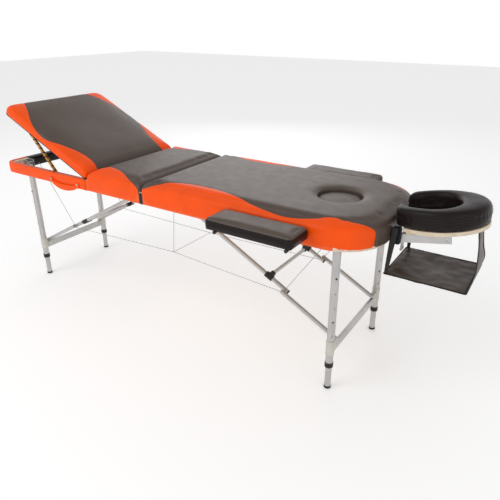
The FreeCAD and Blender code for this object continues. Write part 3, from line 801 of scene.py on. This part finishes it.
def rail_wraps():
    """Orange vinyl round the foot half's rails, with a black wrap over the middle of the end rail."""
    r = 0.046
    cx, cy = -FOOT_LEN + r, -0.280 + r
    far = [Vector((-0.3205, 0.280, 0))]
    for k in range(13):
        a = math.radians(90 + 90 * k / 12)
        far.append(Vector((cx + r * math.cos(a), -cy + r * math.sin(a), 0)))
    near = [Vector((p.x, -p.y, 0)) for p in reversed(far)]
    outline = refined(far + near, 0.02)
    cover = sweep("foot_rail_wrap", outline, wrap_section(0.0016, 0.0212))
    p = coords(cover.data)
    n = normals(cover.data)
    outside = (np.abs(p[:, 1]) > 0.279) | (p[:, 0] < -FOOT_LEN + 0.001)
    p += n * (0.0005 * ripple(p, 16, 1.0) * outside)[:, None]
    set_coords(cover.data, p)
    cover.data.transform(TO_ROW)
    finish_piece(cover, "orange", "foot_half")
    line = refined([(-FOOT_LEN, 0.176, 0), (-FOOT_LEN, -0.176, 0)], 0.012)
    band = sweep("foot_end_wrap", line, end_section())
    p = coords(band.data)
    p += normals(band.data) * (0.0004 * ripple(p, 30, 6.0))[:, None]
    set_coords(band.data, p)
    band.data.transform(TO_ROW)
    finish_piece(band, "black", "foot_half")


# ------------------------------------------------------------------ face plug
def oval_ring(cx, a, b, z):
    out = []
    for k in range(64):
        t = 2 * math.pi * k / 64
        out.append(Vector((cx + a * math.cos(t), b * math.sin(t), z)))
    return out


def plug_cover():
    low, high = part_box("face_plug")
    cx = (low.x + high.x) / 2
    a, b = (high.x - low.x) / 2, high.y
    shape = [(0.006, low.z), (0.001, low.z + 0.001), (0.0, low.z + 0.006), (0.0, high.z - 0.012)]
    for k in range(1, 8):
        t = math.radians(90 * k / 7)
        shape.append((0.013 * (1 - math.cos(t)), high.z - 0.012 + 0.011 * math.sin(t)))
    for k in range(1, 9):
        s = k / 9
        shape.append((0.013 + (b - 0.018) * s, high.z - 0.001 + 0.0022 * math.sin(math.pi / 2 * s)))
    rings = [oval_ring(cx, a - i, b - i, z) for i, z in shape]
    plug = loft("face_plug_cover", rings)
    p = coords(plug.data)
    rho = np.hypot((p[:, 0] - cx) / a, p[:, 1] / b)
    groove = np.exp(-((rho - 0.90) / 0.022) ** 2) * (p[:, 2] > high.z - 0.012)
    p[:, 2] += 0.0006 * ripple(p, 30, 2.0) * (p[:, 2] > high.z - 0.012) - 0.0011 * groove
    set_coords(plug.data, p)
    finish_piece(plug, "dark", "face_plug", ["face_plug"])


# ------------------------------------------------------------------ arm rests
def arm_cover(tag):
    low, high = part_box("arm_pad_" + tag)
    cx, cy = (low.x + high.x) / 2, (low.y + high.y) / 2
    hx, hy = (high.x - low.x) / 2 - 0.001, (high.y - low.y) / 2 - 0.001
    top = high.z - 0.003
    shape = [(0.012, low.z + 0.0002), (0.003, low.z + 0.0004), (0.0006, low.z + 0.003)]
    shape += [(0.0, low.z + 0.008), (0.0, top - 0.014)]
    for k in range(1, 8):
        t = math.radians(90 * k / 7)
        shape.append((0.012 * (1 - math.cos(t)), top - 0.012 + 0.012 * math.sin(t)))
    rings = [rounded_ring(-hx, hx, hy, 0.012, 0.012, i, z) for i, z in shape]
    whole = loft("arm_cover", rings)
    plump(whole, 0.0045, 0.0045, held_below(low.z + 0.014, 0.008), pressure=3.0)
    p = coords(whole.data)
    n = normals(whole.data)
    seam_z = top - 0.0065
    groove = np.exp(-((p[:, 2] - seam_z) / 0.0022) ** 2) * (np.abs(n[:, 2]) < 0.85)
    p += n * (0.0006 * ripple(p, 20, 5.0) - 0.0010 * groove)[:, None]
    set_coords(whole.data, p)

    def field(q):
        return seam_z - q[:, 2]

    split_at(whole, field)
    place = Matrix.Translation((cx, cy, 0))
    top_piece = keep_faces(whole, "arm_top_cover_" + tag, lambda c: field(c) < 0)
    side_piece = keep_faces(whole, "arm_side_cover_" + tag, lambda c: field(c) >= 0)
    drop(whole)
    for obj, mat in ((top_piece, "dark"), (side_piece, "black")):
        obj.data.transform(place)
        finish_piece(obj, mat, "arm_" + tag)
    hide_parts("arm_pad_" + tag)


# ------------------------------------------------------------------ head rest cushion
REST_AT = Vector(JOINTS["rest_tilt"]["pos_m"])
REST_TILT = math.radians(8)
CUSHION_LOW, CUSHION_HIGH = 0.632, 0.702
REST_X, SLOT_X = 1.096, 1.070         # widest places of the cushion and of its face opening
REST_END = 0.970                      # blunt ends of the horseshoe
REST_OVAL = (0.182, 0.148, 0.1388)    # length towards the table, away from it, half width
REST_SLOT = (0.104, 0.080, 0.090)


def two_ovals(cx, sizes, reach):
    """Point on an outline with one half oval towards the table; reach runs from -1 to 1."""
    towards, away, half = sizes
    last = math.pi - math.acos(min((cx - REST_END) / towards, 1))
    t = reach * last
    along = away if math.cos(t) > 0 else towards
    return Vector((cx + along * math.cos(t), half * math.sin(t), 0))


def horseshoe(outer, inner):
    """Matching outer and inner plan points round the open ring, near arm first."""
    pairs = []
    for k in range(91):
        s = -1 + 2 * k / 90
        pairs.append((two_ovals(REST_X, outer, s), two_ovals(SLOT_X, inner, s)))
    return pairs


def grown(sizes, more):
    return tuple(v + more for v in sizes)


def to_rest(obj):
    """From the level drawing of the head rest to how it stands."""
    tilt = Matrix.Rotation(-REST_TILT, 4, "Y")
    obj.data.transform(Matrix.Translation(REST_AT) @ tilt @ Matrix.Translation(-REST_AT) @ TO_ROW)


# section of the cloth over the deck's ledge: (outwards from its opening, height)
LEDGE = [(0.0, 0.6202), (-0.0008, 0.627), (-0.0004, 0.6328), (0.003, 0.6334), (0.026, 0.6334),
         (0.026, 0.6322), (0.0035, 0.6322), (0.0006, 0.6316), (0.0002, 0.6202)]


def cushion_cover():
    low, high = CUSHION_LOW, CUSHION_HIGH - 0.004
    pairs = horseshoe(grown(REST_OVAL, -0.001), REST_SLOT)
    mids = [(o + i) / 2 for o, i in pairs]
    gone = [0.0]
    for m, q in zip(mids[:-1], mids[1:]):
        gone.append(gone[-1] + (q - m).length)
    rings = []
    for k, (o, i) in enumerate(pairs):
        edge = min(gone[k], gone[-1] - gone[k], 0.014)
        s = math.sqrt(max(1 - (1 - edge / 0.014) ** 2, 0.0))
        wide = 0.72 + 0.28 * s
        tall = 0.86 + 0.14 * s
        mid, half = (o + i) / 2, (o - i) / 2 * wide
        ring = []
        for m in range(28):
            a = 2 * math.pi * m / 28
            c, d = math.cos(a), math.sin(a)
            u = squared(c, 0.50)
            v = squared(d, (0.62 if d > 0 else 0.34))
            z = low + (high - low) * (0.5 + 0.5 * v) * (tall if v > -0.9 else 1)
            ring.append(mid + half * u + Vector((0, 0, z)))
        rings.append(ring)
    pad = loft("rest_cushion_cover", rings)
    plump(pad, 0.0046, 0.004, held_below(low + 0.012, 0.008), pressure=3.0)
    p = coords(pad.data)
    n = normals(pad.data)
    side = np.clip(1 - np.abs(n[:, 2]) * 1.3, 0, 1)
    turn = np.arctan2(p[:, 1], p[:, 0] - REST_X)
    band = low + 0.036 + 0.0012 * np.sin(turn * 7)
    groove = np.exp(-((p[:, 2] - band) / 0.0024) ** 2) * side
    near_band = np.exp(-((p[:, 2] - band) / 0.012) ** 2)
    pucker = np.sin(turn * 46 + 3 * ripple(p, 22, 8.0)) * near_band * side
    inside = (np.abs(p[:, 1]) < 0.10) & (p[:, 0] < 1.17)
    fold = np.maximum(ripple(p, 34, 4.0), 0) * np.where(inside, 1.0, 0.35) * side
    p += n * (0.0008 * ripple(p, 18, 7.0) - 0.0020 * groove + 0.0007 * pucker - 0.0035 * fold)[:, None]
    set_coords(pad.data, p)
    to_rest(pad)
    finish_piece(pad, "black", "rest_top", ["rest_cushion"])
    # stitches beside the band seam, round the outside
    runs = []
    outer = [o for o, _ in horseshoe(grown(REST_OVAL, 0.0005), REST_SLOT)][3:-3]
    path = refined(outer, 0.0035)
    for k in range(0, len(path) - 1, 2):
        for lift in (0.0042, -0.0042):
            turn_k = math.atan2(path[k].y, path[k].x - REST_X)
            z = low + 0.036 + 0.0012 * math.sin(turn_k * 7) + lift
            runs.append([path[k] + Vector((0, 0, z)), path[k + 1] + Vector((0, 0, z))])
    stitches("rest_stitches", runs, 0.00045, "rest_top", to_rest)
    # dark cloth over the ledge of the deck, inside the cushion
    strip = []
    for k in range(61):
        s = 0.86 * (-1 + 2 * k / 60)
        i = two_ovals(SLOT_X, (0.0895, 0.0615, 0.0675), s)
        dirv = (two_ovals(SLOT_X, (0.110, 0.082, 0.092), s) - i).normalized()
        ring = []
        for inset, z in LEDGE:
            ring.append(i + dirv * inset + Vector((0, 0, z)))
        strip.append(ring)
    ledge = loft("rest_ledge_cloth", strip)
    to_rest(ledge)
    finish_piece(ledge, "webbing", "rest_top")


def stitches(name, runs, radius, body, place):
    """Many short threads as one piece."""
    verts, faces = [], []
    for a, b in runs:
        a, b = Vector(a), Vector(b)
        d = (b - a).normalized()
        up = Vector((0, 0, 1)) if abs(d.z) < 0.9 else Vector((1, 0, 0))
        s = d.cross(up).normalized()
        t = d.cross(s)
        base = len(verts)
        for q, r in ((a, radius * 0.5), ((a + b) / 2, radius), (b, radius * 0.5)):
            for k in range(6):
                w = math.pi * 2 * k / 6
                verts.append(q + s * r * math.cos(w) + t * r * math.sin(w))
        for lvl in (0, 6):
            for k in range(6):
                j = (k + 1) % 6
                faces.append((base + lvl + k, base + lvl + j, base + lvl + 6 + j, base + lvl + 6 + k))
        faces.append(tuple(base + k for k in reversed(range(6))))
        faces.append(tuple(base + 12 + k for k in range(6)))
    obj = obj_from(name, verts, faces)
    place(obj)
    return finish_piece(obj, "stitch", body)


# ------------------------------------------------------------------ arm sling
def sheet_grid(name, rows, thick, wrinkle, seed):
    """Sheet through rows of points, with thickness and soft wrinkles."""
    verts = [p for row in rows for p in row]
    n = len(rows[0])
    faces = []
    for k in range(len(rows) - 1):
        for i in range(n - 1):
            faces.append((k * n + i, k * n + i + 1, (k + 1) * n + i + 1, (k + 1) * n + i))
    obj = obj_from(name, verts, faces)
    p = coords(obj.data)
    nn = normals(obj.data)
    wave = ripple(p, 13, seed) + 0.5 * ripple(p, 31, seed + 4)
    set_coords(obj.data, p + nn * (wrinkle * wave)[:, None])
    m = obj.modifiers.new("thick", "SOLIDIFY")
    m.thickness = thick
    m.offset = 0
    return bake(obj)


def hem(name, points, normal, width, thick, body):
    """Flat band folded over an edge."""
    pts = refined(points, 0.008)
    rings = []
    nrm = Vector(normal).normalized()
    for k, p in enumerate(pts):
        d = (pts[min(k + 1, len(pts) - 1)] - pts[max(k - 1, 0)]).normalized()
        s = d.cross(nrm).normalized()
        t = s.cross(d)
        ring = []
        for m in range(12):
            a = 2 * math.pi * m / 12
            c, q = math.cos(a), math.sin(a)
            u = squared(c, 0.6) * width / 2
            v = squared(q, 0.8) * thick / 2
            ring.append(p + s * u + t * v)
        rings.append(ring)
    obj = loft(name, rings)
    return finish_piece(obj, "webbing", body)


SLING_BODY = "rest_top"


def sling_pieces():
    low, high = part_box("sling_panel")
    x0, x1 = low.x, high.x
    w, z = high.y, (low.z + high.z) / 2
    rows = []
    for a in range(41):
        s = a / 40
        row = []
        for b in range(37):
            t = -1 + 2 * b / 36
            bow = math.sin(math.pi * s)
            sag = -0.0035 * (1 - t * t) * bow
            row.append(Vector((x0 + (x1 - x0) * s, w * t * (1 - 0.012 * bow), z + sag)))
        rows.append(row)
    panel = sheet_grid("sling_cloth", rows, 0.0012, 0.0052, 2.0)
    finish_piece(panel, "sling", SLING_BODY, ["sling_panel"])
    edge = [rows[0][::3], [r[-1] for r in rows[::4]], rows[-1][::-3], [r[0] for r in rows[::-4]]]
    for k, pts in enumerate(edge):
        hem("sling_hem_%d" % k, pts, (0, 0, 1), 0.009, 0.0030, SLING_BODY)

    # the flap at the head end
    half = curve_through([(0.0, 0.125), (0.048, 0.084), (0.107, 0.044), (0.190, 0.037)])
    lean = curve_through([(0.0, 1.2176), (0.048, 1.2275), (0.107, 1.2215), (0.190, 1.209)])
    rows = []
    for a in range(49):
        h = 0.190 * a / 48
        wide = float(half(np.array([h]))[0])
        x = float(lean(np.array([h]))[0])
        row = []
        for b in range(25):
            t = -1 + 2 * b / 24
            row.append(at(x + 0.003 * (1 - t * t) - 0.001, wide * t, 0.4662 + h))
        rows.append(row)
    flap = sheet_grid("sling_flap", rows, 0.0014, 0.0022, 9.0)
    finish_piece(flap, "sling", SLING_BODY, ["sling_straps"])
    for k, col in ((0, 0), (1, -1)):
        pts = [r[col] for r in rows]
        hem("flap_hem_%d" % k, pts, (1, 0, 0.1), 0.009, 0.0032, SLING_BODY)
    area = sum(2 * float(half(np.array([0.190 * a / 48]))[0]) for a in range(49)) * 0.194 / 49

    # the straps beside the table end
    for tag, sy in (("near", -1), ("far", 1)):
        a0, a1 = at(0.954, sy * 0.1262, 0.4655), at(0.9655, sy * 0.1262, 0.4655)
        b0, b1 = at(0.957, sy * 0.1088, 0.6290), at(0.980, sy * 0.1088, 0.6290)
        rows = []
        for k in range(25):
            s = k / 24
            bow = Vector((0, sy * 0.0006 * math.sin(math.pi * s), 0))
            rows.append([(a0.lerp(b0, s)).lerp(a1.lerp(b1, s), t / 4) + bow for t in range(5)])
        strap = sheet_grid("sling_strap_" + tag, rows, 0.0014, 0.0005, 3.0)
        finish_piece(strap, "webbing", SLING_BODY)


# ------------------------------------------------------------------ steel cables
CABLE_R = 0.0011
KNEE = at(0.5961, 0, 0.3079)          # where upper and lower brace meet


def cable_run(name, node, body, points):
    path = [at(*p) for p in points]
    obj = tube(name, path, CABLE_R)
    finish_piece(obj, "wire", body, [node])
    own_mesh(obj)
    return obj


def cables():
    kx, kz = KNEE.x - HINGE.x, KNEE.z
    mid_near, mid_far = Vector((0.052, -0.168, 0.333)), Vector((-0.010, 0.168, 0.288))
    for side, sx, lane, y in (("head", 1, 0.195, 0.1665), ("foot", -1, 0.163, 0.1595)):
        body = side + "_half"
        start = (sx * (kx - 0.002), -y, kz - 0.008)
        points = [start, (0.300, -0.168, 0.317), mid_near] if side == "head" else [start, mid_near]
        cable_run("wire_near_" + side, "cable_near_" + side, body, points)
        start = (sx * (kx - 0.002), y, kz - 0.008)
        cable_run("wire_far_" + side, "cable_far_" + side, body, [start, mid_far])
        for tag, sy in (("near", -1), ("far", 1)):
            top = (sx * 0.798, sy * lane, 0.601)
            points = [(sx * kx, sy * (y + 0.0016), kz), top]
            cable_run("wire_stay_%s_%s" % (side, tag), "cable_stays_" + side, body, points)
    cable_run("wire_cross", "cable_centre", "head_half", [mid_near, (-0.009, 0.165, 0.2884)])
    cable_run("wire_centre", "cable_centre", "head_half", [mid_near, (0.084, -0.177, 0.618)])


# ------------------------------------------------------------------ carrying handle
def handle_strap():
    pts = [(-0.544, 0.585), (-0.522, 0.5755), (-0.498, 0.5685), (-0.470, 0.566), (-0.430, 0.568),
           (-0.396, 0.575), (-0.372, 0.584)]
    f = curve_through(pts)
    xs = np.linspace(-0.549, -0.367, 40)
    zs = f(xs)
    rings = []
    y_mid = -0.2865
    for k, (x, z) in enumerate(zip(xs, zs)):
        a, b = max(k - 1, 0), min(k + 1, 39)
        d = Vector((xs[b] - xs[a], 0, zs[b] - zs[a])).normalized()
        s = Vector((-d.z, 0, d.x))
        end = min(k, 39 - k)
        fat = 0.0048 + 0.0090 * math.sin(math.pi * k / 39) ** 0.7
        ring = []
        for m in range(16):
            t = 2 * math.pi * m / 16
            c, q = math.cos(t), math.sin(t)
            u = squared(c, 0.7) * fat
            v = squared(q, 0.8) * (0.0052 if end > 4 else 0.0030 + 0.0005 * end)
            ring.append(at(x, y_mid, z) + s * u + Vector((0, v, 0)))
        rings.append(ring)
    strap = loft("handle_strap", rings)
    finish_piece(strap, "orange", "foot_half", ["carry_handle"])
    tab = [(0.0, -0.2802), (0.0, -0.2868), (0.0012, -0.2880)]
    stud = [(0.0025, -0.2878), (0.0025, -0.2884), (0.0032, -0.2888)]
    for k, x in enumerate((-0.544, -0.372)):
        end_plate("handle_plate_%d" % k, x, tab, "orange")
        end_plate("handle_face_%d" % k, x, stud, "steel")


def end_plate(name, x, shape, mat):
    """Small rounded plate on the near rail; shape is (inset, y) from the rail outwards."""
    rings = []
    for inset, y in shape:
        flat = rounded_ring(-0.0085, 0.0085, 0.0125, 0.004, 0.004, inset, 0, 4)
        rings.append([Vector((p.x + x, y, p.y + 0.587)) for p in flat])
    plate = loft(name, rings)
    plate.data.transform(TO_ROW)
    finish_piece(plate, mat, "foot_half")


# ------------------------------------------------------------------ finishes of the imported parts
NODE_MATS = {
    "foot_frame": "rail_wrapped", "head_frame": "rail_wrapped", "foot_leg_block": "rail",
    "seat_board": "ply", "head_board": "ply", "backrest_board": "black",
    "backrest_hardware": "black_steel", "prop_near": "prop", "prop_far": "prop",
    "head_hardware": "steel", "foot_hardware": "steel", "rest_rods": "steel",
    "rest_yoke": "black_plastic", "rest_lever": "steel", "rest_bars": "alu_brace",
    "rest_platform": "cream_deck", "arm_carrier_near": "black_steel",
    "arm_carrier_far": "black_steel",
}
NODE_ENDS = [("_leg_tubes", "alu"), ("_leg_collars", "black_plastic"), ("_inner", "alu"),
             ("_tip", "rubber"), ("_leg_fittings", "cream"), ("_upper_braces", "alu_brace"),
             ("_lower_braces", "alu_brace"), ("_brace_fittings", "black_plastic"),
             ("_button_near", "black_plastic"), ("_button_far", "black_plastic")]


def paint_nodes():
    for obj in list(scene.objects):
        if obj.type != "MESH" or "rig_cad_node" not in obj or obj.hide_render:
            continue
        name = obj.name
        mat = NODE_MATS.get(name)
        for end, m in NODE_ENDS:
            if mat is None and name.endswith(end):
                mat = m
        if mat is None:
            print("no finish for", name)
            mat = "black_plastic"
        obj.data.materials.clear()
        obj.data.materials.append(MAT[mat])


rail_wraps()
plug_cover()
arm_cover("near")
arm_cover("far")
cushion_cover()
sling_pieces()
cables()
handle_strap()
paint_nodes()


# ------------------------------------------------------------------ camera, light, floor
def studio():
    az, el = math.radians(32.732), math.radians(24.411)
    facing = Vector((math.sin(az) * math.cos(el), -math.cos(az) * math.cos(el), math.sin(el)))
    cam_data = bpy.data.cameras.new("camera")
    cam_data.lens = 36.28
    cam_data.sensor_width = 36
    cam_data.shift_x = -0.0082
    cam_data.shift_y = -0.0107
    cam_data.clip_end = 60
    camera = bpy.data.objects.new("camera", cam_data)
    camera.location = at(1.4009, -1.6291, 1.2560)
    camera.rotation_euler = facing.to_track_quat("Z", "Y").to_euler()
    scene.collection.objects.link(camera)
    scene.camera = camera

    corners = [(-14, -14, -0.0002), (14, -14, -0.0002), (14, 14, -0.0002), (-14, 14, -0.0002)]
    floor = obj_from("floor", corners, [(0, 1, 2, 3)], smooth=False)
    mat, tree, bsdf = new_material("floor_paint")
    bsdf.inputs["Base Color"].default_value = (0.90, 0.90, 0.90, 1)
    bsdf.inputs["Emission Color"].default_value = (1, 1, 1, 1)
    bsdf.inputs["Emission Strength"].default_value = 0.24
    bsdf.inputs["Roughness"].default_value = 0.6
    floor.data.materials.append(mat)

    def area(name, place, target, size, power):
        data = bpy.data.lights.new(name, "AREA")
        data.shape = "DISK"
        data.size = size
        data.energy = power
        lamp = bpy.data.objects.new(name, data)
        lamp.location = at(*place)
        way = lamp.location - at(*target)
        lamp.rotation_euler = way.to_track_quat("Z", "Y").to_euler()
        scene.collection.objects.link(lamp)

    area("key", (-1.2, -2.8, 3.2), (0, 0, 0.5), 2.6, 42)
    area("fill", (3.4, -1.6, 2.0), (0.2, 0, 0.5), 2.4, 9)
    area("back", (-1.7, 3.3, 2.3), (0.2, 0, 0.6), 2.8, 18)
    world = bpy.data.worlds.new("studio")
    world.use_nodes = True
    tree = world.node_tree
    height = tree.nodes.new("ShaderNodeSeparateXYZ")
    tree.links.new(tree.nodes.new("ShaderNodeTexCoord").outputs["Generated"], height.inputs[0])
    sky = ramp(tree, height.outputs["Z"], [(0.05, (1.0, 1.0, 1.0)), (0.45, (0.62, 0.62, 0.62))])
    tree.links.new(sky.outputs["Color"], tree.nodes["Background"].inputs["Color"])
    scene.world = world
    scene.view_settings.view_transform = "Standard"


studio()
